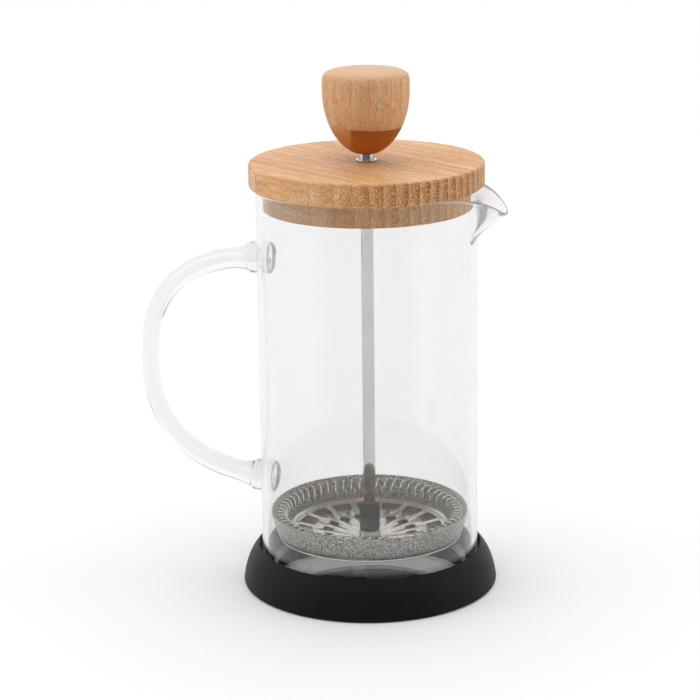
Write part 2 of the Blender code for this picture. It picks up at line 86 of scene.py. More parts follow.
# node helpers, shared by shaders and geometry
class Wire:  # an output socket that arithmetic can use: each operation adds a Math node
    def __init__(self, bench, socket):
        self.bench = bench
        self.socket = socket

    def out(self, name):  # another output of the same node
        return Wire(self.bench, self.socket.node.outputs[name])

    def part(self, axis):  # one component of a vector
        return self.bench.node("ShaderNodeSeparateXYZ", {}, {0: self}).out(axis)

    def __add__(self, other):
        return self.bench.math("ADD", self, other)

    def __sub__(self, other):
        return self.bench.math("SUBTRACT", self, other)

    def __rsub__(self, other):
        return self.bench.math("SUBTRACT", other, self)

    def __mul__(self, other):
        return self.bench.math("MULTIPLY", self, other)

    def __truediv__(self, other):
        return self.bench.math("DIVIDE", self, other)

    def __rtruediv__(self, other):
        return self.bench.math("DIVIDE", other, self)

    def __pow__(self, other):
        return self.bench.math("POWER", self, other)

    def __neg__(self):
        return self.bench.math("MULTIPLY", self, -1.0)

    __radd__ = __add__
    __rmul__ = __mul__


class Bench:  # a node tree, with one way to add any node to it
    def __init__(self, tree):
        self.tree = tree

    def node(self, kind, settings, values):
        made = self.tree.nodes.new(kind)
        for name, setting in settings.items():
            if name == "stops":
                self.fillRamp(made.color_ramp, setting)
            else:
                setattr(made, name, setting)
        for key, value in values.items():
            if isinstance(key, int):
                socket = made.inputs[key]
            else:
                socket = next(item for item in made.inputs if item.enabled and item.name == key)
            for item in value if isinstance(value, list) else [value]:
                if isinstance(item, Wire):
                    self.tree.links.new(item.socket, socket)
                else:
                    socket.default_value = item
        shown = [item for item in made.outputs if item.enabled]
        return Wire(self, shown[0]) if shown else None

    def fillRamp(self, ramp, stops):
        while len(ramp.elements) < len(stops):
            ramp.elements.new(0.5)
        for element, (place, colour) in zip(ramp.elements, stops):
            element.position = place
            element.color = colour

    def math(self, operation, *values):
        return self.node("ShaderNodeMath", {"operation": operation}, dict(enumerate(values)))

    def vector(self, x, y, z):
        return self.node("ShaderNodeCombineXYZ", {}, {"X": x, "Y": y, "Z": z})

    def mix(self, share, first, second, mode="MIX"):
        return self.node("ShaderNodeMix", {"data_type": "RGBA", "blend_type": mode},
                         {"Factor": share, "A": first, "B": second})

    def ease(self, value, low, high):  # smooth step from 0 at low to 1 at high
        return self.node("ShaderNodeMapRange", {"interpolation_type": "SMOOTHSTEP"},
                         {"Value": value, "From Min": low, "From Max": high})

    def grain(self, size, turn=(0, 0, 0), centre=(0, 0, 0)):  # object coordinates in cells of a size
        place = self.node("ShaderNodeTexCoord", {}, {}).out("Object")
        return self.node("ShaderNodeMapping", {"vector_type": "TEXTURE"},
                         {"Vector": place, "Location": centre, "Rotation": turn, "Scale": size})

    def noise(self, vector, detail=2.0, roughness=0.5, distortion=0.0):
        return self.node("ShaderNodeTexNoise", {}, {"Vector": vector, "Scale": 1.0, "Detail": detail,
                                                    "Roughness": roughness, "Distortion": distortion})

    def bump(self, height, distance, strength=1.0):
        return self.node("ShaderNodeBump", {}, {"Height": height, "Distance": distance,
                                                "Strength": strength})


def screen(red, green, blue):  # linear colour from screen values out of 255
    def linear(value):
        share = value / 255
        return share / 12.92 if share <= 0.04045 else ((share + 0.055) / 1.055) ** 2.4
    return (linear(red), linear(green), linear(blue), 1.0)


def newFinish(name):
    material = bpy.data.materials.new(name)
    material.use_nodes = True
    material.node_tree.nodes.clear()
    return material, Bench(material.node_tree)


def closeFinish(bench, values):
    shader = bench.node("ShaderNodeBsdfPrincipled", {}, values)
    bench.node("ShaderNodeOutputMaterial", {}, {"Surface": shader})


# finishes
bambooLook = {
    "fibreAzimuth": -28.0,   # degrees, which way the lid's strips run
    "stripWidth": 4.3 * mm,
    "bundleWidth": 0.55 * mm,
    "bundleLength": 22 * mm,
    "drift": (60 * mm, 14 * mm, 14 * mm),     # sizes of the grain's noises, along the fibre first
    "fibre": (7 * mm, 0.22 * mm, 0.22 * mm),
    "cloud": (60 * mm, 3.0 * mm, 3.0 * mm),
    "pores": (1.1 * mm, 0.42 * mm, 0.42 * mm),
    "pale": screen(236, 201, 164),
    "middle": screen(226, 180, 131),
    "deep": screen(210, 154, 94),
    "line": screen(176, 110, 54),
    "rim": screen(222, 166, 104),
    "bundle": screen(90, 48, 22),
}
knobLook = {
    "seamHeight": 188.3 * mm,    # the dark block ends at this height
    "seamTilt": -0.04,           # how much that seam rises across the view
    "blockEdge": -6.0 * mm,      # and begins here, seen from the camera's side
    "blockAzimuth": 20.0,        # degrees, the side it is seen from
    "pale": screen(218, 180, 144),
    "middle": screen(212, 160, 108),
    "deep": screen(192, 134, 76),
    "under": screen(196, 116, 30),
    "block": screen(156, 74, 0),
    "glow": screen(190, 98, 2),
}


def bambooFinish(name, turn, isKnob=False, isPlug=False):
    look = dict(bambooLook)
    if isPlug:  # painted light: paler end-grain rim and lighter bundles stand in for light the glass holds back from the plug
        look.update({"rim": screen(255, 208, 150), "bundle": look["line"]})
    if isKnob:
        look.update(knobLook)
    material, bench = newFinish(name)
    plank = bench.grain((mm, mm, mm), turn)
    ends = bench.node("ShaderNodeAttribute", {"attribute_name": "endGrain"}, {}).out("Fac")
    drift = bench.noise(bench.grain(look["drift"], turn), 2.0)
    across = plank.part("Y") / (look["stripWidth"] / mm) + drift * 0.3
    strip = bench.math("FLOOR", across)
    share = across - strip
    tone = bench.node("ShaderNodeTexWhiteNoise", {"noise_dimensions": "1D"}, {"W": strip})
    cells = bench.node("ShaderNodeTexVoronoi", {}, {
        "Vector": bench.grain((look["bundleLength"], look["bundleWidth"], look["bundleWidth"]), turn),
        "Scale": 1.0})
    fibre = bench.noise(bench.grain(look["fibre"], turn), 3.0, 0.65)
    cloud = bench.noise(bench.grain(look["cloud"], turn), 4.0, 0.6, 0.4)
    pores = bench.noise(bench.grain(look["pores"], turn), 2.0, 0.6)
    bundle = bench.ease(0.1 + 0.2 * share + 0.2 * pores - cells.out("Distance"), 0.0, 0.16)
    shade = cloud * 0.7 + tone * 0.14 + fibre * 0.16
    wood = bench.node("ShaderNodeValToRGB", {"stops": [(0.34, look["pale"]), (0.5, look["middle"]),
                                                       (0.66, look["deep"])]}, {"Fac": shade})
    if isKnob:
        wood = bench.mix(ends, wood, look["pale"])
        shown = ends * (1.0 - ends) * 1.6 + 0.24  # specks on the shoulder and the sides, few on top
        # darker orange towards the foot below a tilted seam, darkest in a block on the camera's side, with
        # a dark line along the seam
        sides = bench.grain((mm, mm, mm), (0, 0, math.radians(look["blockAzimuth"])))
        seam = look["seamHeight"] / mm + look["seamTilt"] * sides.part("X")
        height = sides.part("Z")
        low = 1.0 - bench.ease(height + pores * 5.0, seam - 1.0, seam + 5.0)
        within = bench.ease(sides.part("X") - look["blockEdge"] / mm, -0.1, 0.1)
        below = bench.ease(seam - height, -0.08, 0.12)
        wood = bench.mix(low * 0.85, wood, look["under"])
        blockTone = bench.mix(bench.ease(seam - height, 0.0, 9.0), look["block"], look["glow"])
        wood = bench.mix(below * within, wood, blockTone)
        edge = bench.ease(0.22 - bench.math("ABSOLUTE", seam - height), 0.0, 0.2) * within
        wood = bench.mix(edge * 0.6, wood, look["bundle"])
    else:
        wood = bench.mix(ends * 0.7, wood, look["rim"])
        dots = bench.ease(pores + 0.12 * share, 0.52, 0.58) * ends
        wood = bench.mix(dots * 0.96, wood, look["bundle"])
        shown = 0.16 + 0.5 * ends
        joint = bench.ease(0.035 - bench.math("MINIMUM", share, 1.0 - share), 0.0, 0.03)
        wood = bench.mix(joint * (1.0 - ends) * 0.4, wood, look["line"])
    wood = bench.mix(bench.ease(fibre, 0.47, 0.62) * 0.6 * (1.0 - ends * 0.6), wood, look["line"])
    wood = bench.mix(bench.ease(pores, 0.48, 0.64) * 0.42, wood, look["line"])
    wood = bench.mix(bundle * shown, wood, look["bundle"])
    relief = fibre * 0.5 + pores * 0.3 - bundle * 0.5
    closeFinish(bench, {"Base Color": wood, "Roughness": 0.44 + 0.16 * fibre, "Specular IOR Level": 0.35,
                        "Normal": bench.bump(relief, 0.06 * mm, 0.6), "IOR": 1.45})
    return material


def steelFinish(name, colour, roughness, marks, depth):
    # marks is the size of the tool marks along x, y and z, depth their height
    material, bench = newFinish(name)
    fine = bench.noise(bench.grain(marks), 3.0, 0.65)
    smudge = bench.noise(bench.grain((9 * mm, 9 * mm, 9 * mm)), 3.0)
    body = bench.mix(smudge, screen(*colour), screen(*[0.9 * value for value in colour]))
    closeFinish(bench, {"Base Color": body, "Metallic": 1.0,
                        "Roughness": roughness * (0.75 + 0.3 * fine + 0.2 * smudge),
                        "Normal": bench.bump(fine, depth, 0.5)})
    return material


def meshFinish(name, pitch):
    # plain weave on the piece's own flat-disc coordinates, which are in metres
    material, bench = newFinish(name)
    flat = bench.node("ShaderNodeUVMap", {"uv_map": "cloth"}, {})
    u = flat.part("X") * (math.pi / pitch)
    v = flat.part("Y") * (math.pi / pitch)
    over = bench.ease(bench.math("SINE", u) * bench.math("SINE", v), -0.4, 0.4)
    warp = bench.math("ABSOLUTE", bench.math("SINE", u))
    weft = bench.math("ABSOLUTE", bench.math("SINE", v))
    height = bench.math("MAXIMUM", warp * (0.45 + 0.55 * over), weft * (1.0 - 0.55 * over))
    wire = bench.ease(height, 0.35, 0.8)
    kinks = bench.noise(bench.grain((0.5 * mm, 0.5 * mm, 0.5 * mm)), 1.0, 0.6)
    # painted glints: noise specks lift the colour to near white, over a weave a little lighter on the wires
    paintedGlint = bench.ease(kinks, 0.46, 0.54)
    stain = bench.noise(bench.grain((5 * mm, 5 * mm, 5 * mm)), 4.0)
    colour = bench.mix(wire * 0.25 + paintedGlint * 0.75, screen(62, 59, 57), screen(240, 235, 230))
    colour = bench.mix(stain * 0.24, colour, screen(120, 114, 108))
    closeFinish(bench, {"Base Color": colour, "Metallic": 0.7, "Roughness": 0.5 - 0.14 * wire,
                        "Normal": bench.bump(height * 0.6 + kinks * 0.8, 0.2 * mm, 0.9)})
    return material


def siliconeFinish(name):
    material, bench = newFinish(name)
    dust = bench.noise(bench.grain((0.5 * mm, 0.5 * mm, 0.5 * mm)), 3.0, 0.6)
    film = bench.noise(bench.grain((16 * mm, 16 * mm, 6 * mm)), 3.0)
    colour = bench.mix(film * 0.6 + dust * 0.2, screen(10, 10, 10), screen(19, 19, 19))
    closeFinish(bench, {"Base Color": colour, "Roughness": 0.4 + 0.1 * film + 0.06 * dust,
                        "Specular IOR Level": 0.12, "Normal": bench.bump(dust, 0.02 * mm, 0.5)})
    return material


glassLook = {
    "index": 1.47,
    "surface": (0.95, 0.952, 0.951, 1.0),
    "lampTint": (0.95, 0.955, 0.955, 1.0),  # for the lamps' light
    "body": (0.1, 0.12, 0.12, 1.0),
    "density": 16.0,
    "mirrorLimit": 3.5,      # past this many mirror bounces the glass gives off a painted glow, standing in for light cut off by the bounce limit
    "paintedGlow": (0.27, 0.27, 0.27, 1.0),
}


def glassFinish(name):
    # clear glass that lets the lamps' light through, with the faint waves of drawn glass, and a painted
    # glow where light has mirrored many times inside it
    material, bench = newFinish(name)
    wave = bench.noise(bench.grain((26 * mm, 26 * mm, 60 * mm)), 1.0)
    path = bench.node("ShaderNodeLightPath", {}, {})
    # painted glow: the glass emits light only on rays mirrored more than mirrorLimit times
    paintedGlowMask = bench.math("GREATER_THAN", path.out("Glossy Depth"), glassLook["mirrorLimit"])
    clear = bench.node("ShaderNodeBsdfPrincipled", {}, {
        "Emission Color": bench.mix(paintedGlowMask, (0.0, 0.0, 0.0, 1.0), glassLook["paintedGlow"]),
        "Emission Strength": 1.0,
        "Base Color": glassLook["surface"], "Roughness": 0.0, "IOR": glassLook["index"],
        "Transmission Weight": 1.0, "Normal": bench.bump(wave, 0.2 * mm, 0.12)})
    lamps = bench.node("ShaderNodeBsdfTransparent", {}, {"Color": glassLook["lampTint"]})
    shader = bench.node("ShaderNodeMixShader", {}, {0: path.out("Is Shadow Ray"), 1: clear, 2: lamps})
    tint = bench.node("ShaderNodeVolumeAbsorption", {}, {"Color": glassLook["body"],
                                                         "Density": glassLook["density"]})
    bench.node("ShaderNodeOutputMaterial", {}, {"Surface": shader, "Volume": tint})
    return material


alongLid = (0, 0, math.radians(bambooLook["fibreAzimuth"]))
upright = (0, -math.pi / 2, 0)
turned = (8 * mm, 8 * mm, 0.4 * mm)    # tool marks run round the axis
brushed = (6 * mm, 6 * mm, 0.06 * mm)
pressed = (2.2 * mm, 2.2 * mm, 2.2 * mm)
finishes = {
    "glass": glassFinish("glass"),
    "silicone": siliconeFinish("silicone"),
    "bamboo": bambooFinish("bamboo", alongLid),
    # a paler copy of the bamboo, with painted light for the plug behind the glass
    "plug_bamboo_painted_light": bambooFinish("plugBambooPaintedLight", alongLid, isPlug=True),
    "knob_bamboo": bambooFinish("knobBamboo", upright, isKnob=True),
    "polished_steel": steelFinish("polishedSteel", (222, 219, 216), 0.07, turned, 0.004 * mm),
    "brushed_steel": steelFinish("brushedSteel", (118, 115, 112), 0.26, brushed, 0.01 * mm),
    "plate_steel": steelFinish("plateSteel", (206, 202, 197), 0.15, pressed, 0.2 * mm),
    "mesh_steel": meshFinish("meshSteel", 0.6 * mm),
    "spring_steel": steelFinish("springSteel", (226, 223, 219), 0.12, (mm, mm, mm), 0.004 * mm),
    "brass": steelFinish("machinedBrass", (214, 176, 104), 0.25, (5 * mm, 5 * mm, 0.1 * mm), 0.008 * mm),
}
print("finishes mixed:", len(finishes))


# shape helpers
def softCorners(corners, steps=6):
    # outline through (radius, height, fillet) corners, each fillet drawn as an arc
    outline = []
    for index, (radius, height, fillet) in enumerate(corners):
        here = Vector((radius, height))
        if not fillet:
            outline.append((radius, height))
            continue
        back = Vector(corners[index - 1][:2]) - here
        ahead = Vector(corners[(index + 1) % len(corners)][:2]) - here
        half = back.angle(ahead) / 2
        fillet = min(fillet, 0.98 * min(back.length, ahead.length) * math.tan(half))
        middle = here + (back.normalized() + ahead.normalized()).normalized() * fillet / math.sin(half)
        start = here + back.normalized() * fillet / math.tan(half) - middle
        sweep = start.angle_signed(here + ahead.normalized() * fillet / math.tan(half) - middle)
        for step in range(steps + 1):
            angle = -sweep * step / steps
            outline.append((middle.x + start.x * math.cos(angle) - start.y * math.sin(angle),
                            middle.y + start.x * math.sin(angle) + start.y * math.cos(angle)))
    return outline


def turnOutline(name, outline, sides, crowd=0.0):
    # spin an outline about Z; crowd draws the sides together towards +X
    places = []
    rings = []
    onAxis = 0.0001 * mm
    for radius, height in outline:
        if radius < onAxis:
            rings.append([len(places)] * sides)
            places.append((0, 0, height))
            continue
        rings.append(list(range(len(places), len(places) + sides)))
        for side in range(sides):
            angle = math.tau * side / sides
            angle -= crowd * math.sin(angle)
            places.append((radius * math.cos(angle), radius * math.sin(angle), height))
    faces = []
    if outline[0][0] > onAxis:
        rings.append(rings[0])
    for low, high in zip(rings, rings[1:]):
        for side in range(sides):
            after = (side + 1) % sides
            corners = list(dict.fromkeys((low[side], low[after], high[after], high[side])))
            if len(corners) > 2:
                faces.append(corners)
    mesh = bpy.data.meshes.new(name)
    mesh.from_pydata(places, [], faces)
    return bpy.data.objects.new(name, mesh)


def tidyMesh(piece, sharp=32):
    # faces outwards, smooth but for edges sharper than this many degrees
    mesh = piece.data
    bpy.context.scene.collection.objects.link(piece)
    work = bmesh.new()
    work.from_mesh(mesh)
    bmesh.ops.remove_doubles(work, verts=work.verts, dist=0.0005 * mm)
    bmesh.ops.recalc_face_normals(work, faces=work.faces)
    work.to_mesh(mesh)
    work.free()
    mesh.shade_smooth()
    mesh.set_sharp_from_angle(angle=math.radians(sharp))
    return piece


def place(piece, finish, body, nodes, slot=None):
    piece.data.materials.clear()
    piece.data.materials.append(finishes[finish])
    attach(piece, body)
    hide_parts(*nodes)
    return piece


def markEnds(piece, direction):
    # store how squarely the surface cuts the fibres, 0 along them and 1 across
    values = [abs(normal.vector.dot(direction)) ** 1.5 for normal in piece.data.vertex_normals]
    layer = piece.data.attributes.new("endGrain", "FLOAT", "POINT")
    layer.data.foreach_set("value", values)


def newRecipe(name, inputs):
    # empty geometry tree with named inputs; each is (name, socket type)
    tree = bpy.data.node_groups.new(name, "GeometryNodeTree")
    tree.interface.new_socket("Geometry", in_out="INPUT", socket_type="NodeSocketGeometry")
    for title, kind in inputs:
        tree.interface.new_socket(title, in_out="INPUT", socket_type="NodeSocket" + kind)
    tree.interface.new_socket("Geometry", in_out="OUTPUT", socket_type="NodeSocketGeometry")
    bench = Bench(tree)
    return tree, bench, bench.node("NodeGroupInput", {}, {})


def closeRecipe(bench, shape, finish):
    solid = bench.node("GeometryNodeRealizeInstances", {}, {"Geometry": shape})
    coloured = bench.node("GeometryNodeSetMaterial", {}, {"Geometry": solid, "Material": finishes[finish]})
    bench.node("NodeGroupOutput", {}, {0: coloured})


def cook(name, tree, values, start=None):
    # run a geometry tree on a mesh, or on nothing, and keep the result as a plain mesh
    piece = start or bpy.data.objects.new(name, bpy.data.meshes.new(name))
    if piece.name not in bpy.context.scene.collection.objects:
        bpy.context.scene.collection.objects.link(piece)
    modifier = piece.modifiers.new(name, "NODES")
    modifier.node_group = tree
    for item in tree.interface.items_tree:
        if item.item_type == "SOCKET" and item.name in values:
            modifier[item.identifier] = values[item.name]
    ready = piece.evaluated_get(bpy.context.evaluated_depsgraph_get())
    mesh = bpy.data.meshes.new_from_object(ready)
    piece.modifiers.remove(modifier)
    piece.data = mesh
    bpy.context.scene.collection.objects.unlink(piece)
    piece.name = name
    return piece


# glass beaker and handle
glassLow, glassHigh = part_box("glass_beaker")
handleLow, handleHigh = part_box("glass_handle")
glassPiece = {
    "radius": -glassLow.x,
    "height": glassHigh.z - glassLow.z,
    "wall": 2.2 * mm,
    "floor": 2.6 * mm,
    "corner": 7.0 * mm,
    "sides": 288,
    "rows": 44,                # of faces, in the height that the lip is drawn from
    "spoutReach": 14.4 * mm,   # lip beyond the wall, before it dips
    "spoutTip": 6.2 * mm,      # round of the tip, from above
    "spoutDip": 7.6 * mm,      # how far the tip droops
    "spoutDepth": 18.0 * mm,   # height of the chute below the rim
    "spoutFade": 30.0 * mm,    # the droop dies away over this height
    "crowd": 0.35,             # how much the sides draw together at the lip
}
handlePiece = {
    "reach": 51.9 * mm,        # wall to the rod's centreline, at its furthest
    "radius": 3.6 * mm,
    "endRadius": 4.2 * mm,
    "fillet": 2.2 * mm,        # flare where the rod is fused to the wall
    "filletLength": 4.5 * mm,
    "squareness": 2.41,        # 2 for an ellipse
    "root": 4.0 * mm,          # the loop's centre lies this far inside the wall
    "sink": 1.1 * mm,          # how deep the ends sit in the wall
    "steps": 150,
    "sides": 40,
}


def glassOutline():
    g = glassPiece
    rim = g["wall"] / 2
    bore = g["radius"] - g["wall"]
    rimSteps = 12
    lowRows = 12
    arcSteps = 14
    zone = [g["height"] - g["spoutFade"] * (1 - row / g["rows"]) for row in range(g["rows"] - 1)]
    zone = [height for height in zone if height < g["height"] - rim]
    outer = softCorners([(0, 0, 0), (g["radius"], 0, g["corner"]), (g["radius"], zone[0], 0)],
                        arcSteps)[:-1]
    outline = outer[:1] + [(g["radius"] * 0.4, 0), (g["radius"] * 0.7, 0)] + outer[1:]
    lower = [g["corner"] + (zone[0] - g["corner"]) * row / lowRows for row in range(1, lowRows)]
    outline += [(g["radius"], height) for height in lower + zone]
    for step in range(rimSteps + 1):
        angle = math.pi * step / rimSteps
        outline.append((g["radius"] - rim + rim * math.cos(angle),
                        g["height"] - rim + rim * math.sin(angle)))
    outline += [(bore, height) for height in reversed(lower + zone)]
    inner = softCorners([(bore, zone[0], 0), (bore, g["floor"], g["corner"] - g["wall"]),
                         (0, g["floor"], 0)], arcSteps)[1:-1]
    return outline + inner + [(bore * 0.7, g["floor"]), (bore * 0.4, g["floor"]), (0, g["floor"])]


def glassRecipe():
    # draws the lip out of a turned wall, sweeps the handle and fuses the two
    tree, bench, given = newRecipe("glassShape", [
        ("Radius", "Float"), ("Height", "Float"), ("Reach", "Float"), ("Tip radius", "Float"),
        ("Dip", "Float"), ("Depth", "Float"), ("Fade", "Float"),
        ("Handle reach", "Float"), ("Handle rise", "Float"), ("Handle height", "Float"),
        ("Rod radius", "Float"), ("End radius", "Float"), ("Fillet", "Float"),
        ("Fillet length", "Float"), ("Root", "Float"), ("End angle", "Float"), ("Squareness", "Float"),
        ("Steps", "Int"), ("Sides", "Int")])
    radius = given.out("Radius")
    tip = given.out("Tip radius")
    spot = bench.node("GeometryNodeInputPosition", {}, {})
    x, y, z = spot.part("X"), spot.part("Y"), spot.part("Z")
    away = (x * x + y * y) ** 0.5
    bearing = bench.math("ARCTAN2", y, x)
    angle = bench.math("ABSOLUTE", bearing)
    centre = radius + given.out("Reach") - tip
    flank = bench.math("ARCCOSINE", (radius - tip) / centre)
    tipEdge = bench.math("ARCTAN2", tip * bench.math("SINE", flank),
                         centre + tip * bench.math("COSINE", flank))
    straight = radius / bench.math("COSINE", flank - angle) - radius
    along = centre * bench.math("COSINE", angle)
    curved = along + bench.math("SQRT", along * along - centre * centre + tip * tip) - radius
    nearTip = bench.math("LESS_THAN", angle, tipEdge)
    inside = bench.math("LESS_THAN", angle, flank)
    bulge = inside * (nearTip * curved + (1.0 - nearTip) * straight)
    share = bench.math("MAXIMUM", bulge / given.out("Reach"), 0.0)
    depth = given.out("Height") - z
    chute = bench.math("MAXIMUM", 1.0 - depth / (given.out("Depth") * share ** 0.3 + 1e-6), 0.0)
    onWall = bench.math("GREATER_THAN", away, radius * 0.94)
    grown = away + onWall * given.out("Reach") * share * chute ** 1.4
    fade = bench.math("MAXIMUM", 1.0 - depth / given.out("Fade"), 0.0)
    sink = onWall * given.out("Dip") * share ** 2.2 * fade
    moved = bench.vector(grown * bench.math("COSINE", bearing), grown * bench.math("SINE", bearing),
                         z - sink)
    wall = bench.node("GeometryNodeSetPosition", {}, {"Geometry": given.out("Geometry"), "Position": moved})

    # the handle's centreline is a squarish half loop in the XZ plane
    line = bench.node("GeometryNodeCurvePrimitiveLine", {}, {})
    line = bench.node("GeometryNodeResampleCurve", {}, {"Curve": line, "Count": given.out("Steps")})
    factor = bench.node("GeometryNodeSplineParameter", {}, {})
    sweep = given.out("End angle") * bench.math("SINE", (factor - 0.5) * math.pi)
    power = 2.0 / given.out("Squareness")
    inner = radius - given.out("Root")
    out = inner + (given.out("Handle reach") + given.out("Root")) * bench.math("COSINE", sweep) ** power
    lift = bench.math("ABSOLUTE", bench.math("SINE", sweep)) ** power * bench.math("SIGN", sweep)
    path = bench.vector(-out, 0.0, given.out("Handle height") + given.out("Handle rise") * lift)
    swell = bench.math("ABSOLUTE", bench.math("SINE", sweep)) ** 4.0
    near = bench.math("MAXIMUM", 1.0 - (out - radius) / given.out("Fillet length"), 0.0)
    near = bench.math("MINIMUM", near, 1.0)
    flare = given.out("Fillet") * (1.0 - bench.math("SQRT", 1.0 - near * near))
    thick = given.out("Rod radius") + (given.out("End radius") - given.out("Rod radius")) * swell + flare
    line = bench.node("GeometryNodeSetPosition", {}, {"Geometry": line, "Position": path})
    ring = bench.node("GeometryNodeCurvePrimitiveCircle", {}, {"Resolution": given.out("Sides"),
                                                               "Radius": 1.0})
    rod = bench.node("GeometryNodeCurveToMesh", {}, {"Curve": line, "Profile Curve": ring, "Scale": thick,
                                                     "Fill Caps": True})
    fused = bench.node("GeometryNodeMeshBoolean", {"operation": "UNION", "solver": "EXACT"},
                       {1: [wall, rod]})
    closeRecipe(bench, fused, "glass")
    return tree


def buildGlass():
    g = glassPiece
    h = handlePiece
    start = g["radius"] - h["sink"]
    power = 2 / h["squareness"]
    endAngle = math.acos(((start - g["radius"] + h["root"]) / (h["reach"] + h["root"])) ** (1 / power))
    rise = (handleHigh.z - handleLow.z) / 2 - h["endRadius"] - h["fillet"]
    wall = turnOutline("glassBody", glassOutline(), g["sides"], g["crowd"])
    piece = cook("glassBody", glassRecipe(), {
        "Radius": g["radius"], "Height": g["height"], "Reach": g["spoutReach"],
        "Tip radius": g["spoutTip"], "Dip": g["spoutDip"], "Depth": g["spoutDepth"], "Fade": g["spoutFade"],
        "Handle reach": h["reach"], "Handle rise": rise,
        "Handle height": (handleHigh.z + handleLow.z) / 2 - glassLow.z,
        "Rod radius": h["radius"], "End radius": h["endRadius"], "Fillet": h["fillet"],
        "Fillet length": h["filletLength"], "Root": h["root"], "End angle": endAngle,
        "Squareness": h["squareness"], "Steps": h["steps"], "Sides": h["sides"]}, wall)
    piece.data.transform(Matrix.Translation((0, 0, glassLow.z)))
    place(tidyMesh(piece), "glass", "beaker", ["glass_beaker", "glass_handle"])


buildGlass()
print("glass blown")


# silicone base
basePiece = {
    "lip": 1.9 * mm,       # beyond the glass
    "taper": 0.15,         # slope of the lower side
    "edge": 2.6 * mm,
    "mouth": 0.8 * mm,
    "floor": 3.0 * mm,
    "gap": 0.3 * mm,       # around the glass
    "crest": 0.55 * mm,    # the rounded top begins this far below it
    "recess": 0.4 * mm,    # of the underside, within the foot ring
    "sides": 192,
}


def buildBase():
    b = basePiece
    low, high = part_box("silicone_base")
    foot = high.x
    lip = glassPiece["radius"] + b["lip"]
    bore = glassPiece["radius"] + b["gap"]
    crest = high.z - b["crest"]
    drop = foot - lip - b["taper"] * crest
    corners = [(0, b["recess"], 0), (foot * 0.9, b["recess"], 0), (foot * 0.92, 0, 0.3 * mm),
               (foot, 0, b["edge"])]
    steps = 20
    for step in range(2, steps + 1):  # straight low down, then flaring in to the lip
        share = step / steps
        corners.append((foot - b["taper"] * crest * share - drop * share ** 3, crest * share, 0))
    corners += [(lip - 0.35 * mm, high.z - 0.12 * mm, 0), (lip - 0.6 * mm, high.z, 0),
                (bore + b["mouth"], high.z, 0.3 * mm), (bore, high.z - 2 * b["mouth"], 0.4 * mm),
                (bore, b["floor"], glassPiece["corner"]), (0, b["floor"], 0)]
    piece = turnOutline("siliconeBase", softCorners(corners, 8), b["sides"])
    place(tidyMesh(piece), "silicone", "base", ["silicone_base"])


buildBase()


# bamboo lid and knob
lidPiece = {"edge": 1.2 * mm, "plugEdge": 0.8 * mm, "hole": 3.65 * mm, "sides": 256}
knobPiece = {
    "topHeight": 8.2 * mm,      # above the widest ring
    "lowerHeight": 25.6 * mm,   # half height of the lower half-ellipse
    "flatDepth": 24.5 * mm,     # widest ring down to the underside
    "rise": 6.0,                # exponents of the rounded top
    "roundness": 5.0,
    "hole": 3.4 * mm,
    "holeDepth": 12.1 * mm,
    "steps": 40,                # in each half of the outline
    "sides": 160,
}


def buildLid():
    lidFibre = Vector((math.cos(alongLid[2]), math.sin(alongLid[2]), 0))
    hole = lidPiece["hole"]
    for name, node, finish, edge, topEdge in (
            ("lidDisc", "lid_disc", "bamboo", lidPiece["edge"], lidPiece["edge"]),
            ("lidPlug", "lid_plug", "plug_bamboo_painted_light", lidPiece["plugEdge"], 0)):
        low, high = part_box(node)
        corners = [(hole, low.z, 0), (high.x, low.z, edge), (high.x, high.z, topEdge), (hole, high.z, 0)]
        piece = tidyMesh(turnOutline(name, softCorners(corners, 8), lidPiece["sides"]))
        markEnds(piece, lidFibre)
        place(piece, finish, "lid", [node], "bamboo")


def buildKnob():
    k = knobPiece
    low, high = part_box("knob")
    steps = k["steps"]
    crown = k["flatDepth"] + k["topHeight"]
    outline = [(0, k["holeDepth"]), (k["hole"], k["holeDepth"]), (k["hole"], 0.2 * mm),
               (k["hole"] + 0.2 * mm, 0)]
    for step in range(steps + 1):
        drop = k["flatDepth"] * (1 - math.sin(math.pi / 2 * step / steps))
        outline.append((high.x * math.sqrt(1 - (drop / k["lowerHeight"]) ** 2), k["flatDepth"] - drop))
    for step in range(1, steps):
        share = math.sin(math.pi / 2 * step / steps)
        outline.append((high.x * (1 - share ** k["rise"]) ** (1 / k["roundness"]),
                        k["flatDepth"] + k["topHeight"] * share))
    outline += [(high.x * 0.2, crown), (0, crown)]
    piece = turnOutline("knobWood", [(radius, low.z + height) for radius, height in outline], k["sides"])
    tidyMesh(piece)
    markEnds(piece, Vector((0, 0, 1)))
    place(piece, "knob_bamboo", "plunger", ["knob"])


buildLid()
buildKnob()
print("bamboo turned")


# rod, bush, hub and collar
bushPiece = {"bore": 2.65 * mm, "tube": 3.35 * mm, "flange": 0.5 * mm, "flangeGap": 0.3 * mm}
rodPiece = {"thread": 2.1 * mm, "hubGap": 0.3 * mm}
hubPiece = {"bore": 2.4 * mm, "chamfer": 0.8 * mm}  # the collar under it has the same bore
studPiece = {"thread": 2.1 * mm, "head": 1.8 * mm, "recess": 0.5 * mm, "flat": 2.0 * mm, "rim": 2.6 * mm}


def turnSteel(name, node, corners, finish, body):
    piece = tidyMesh(turnOutline(name, softCorners(corners, 4), 96))
    place(piece, finish, body, [node])


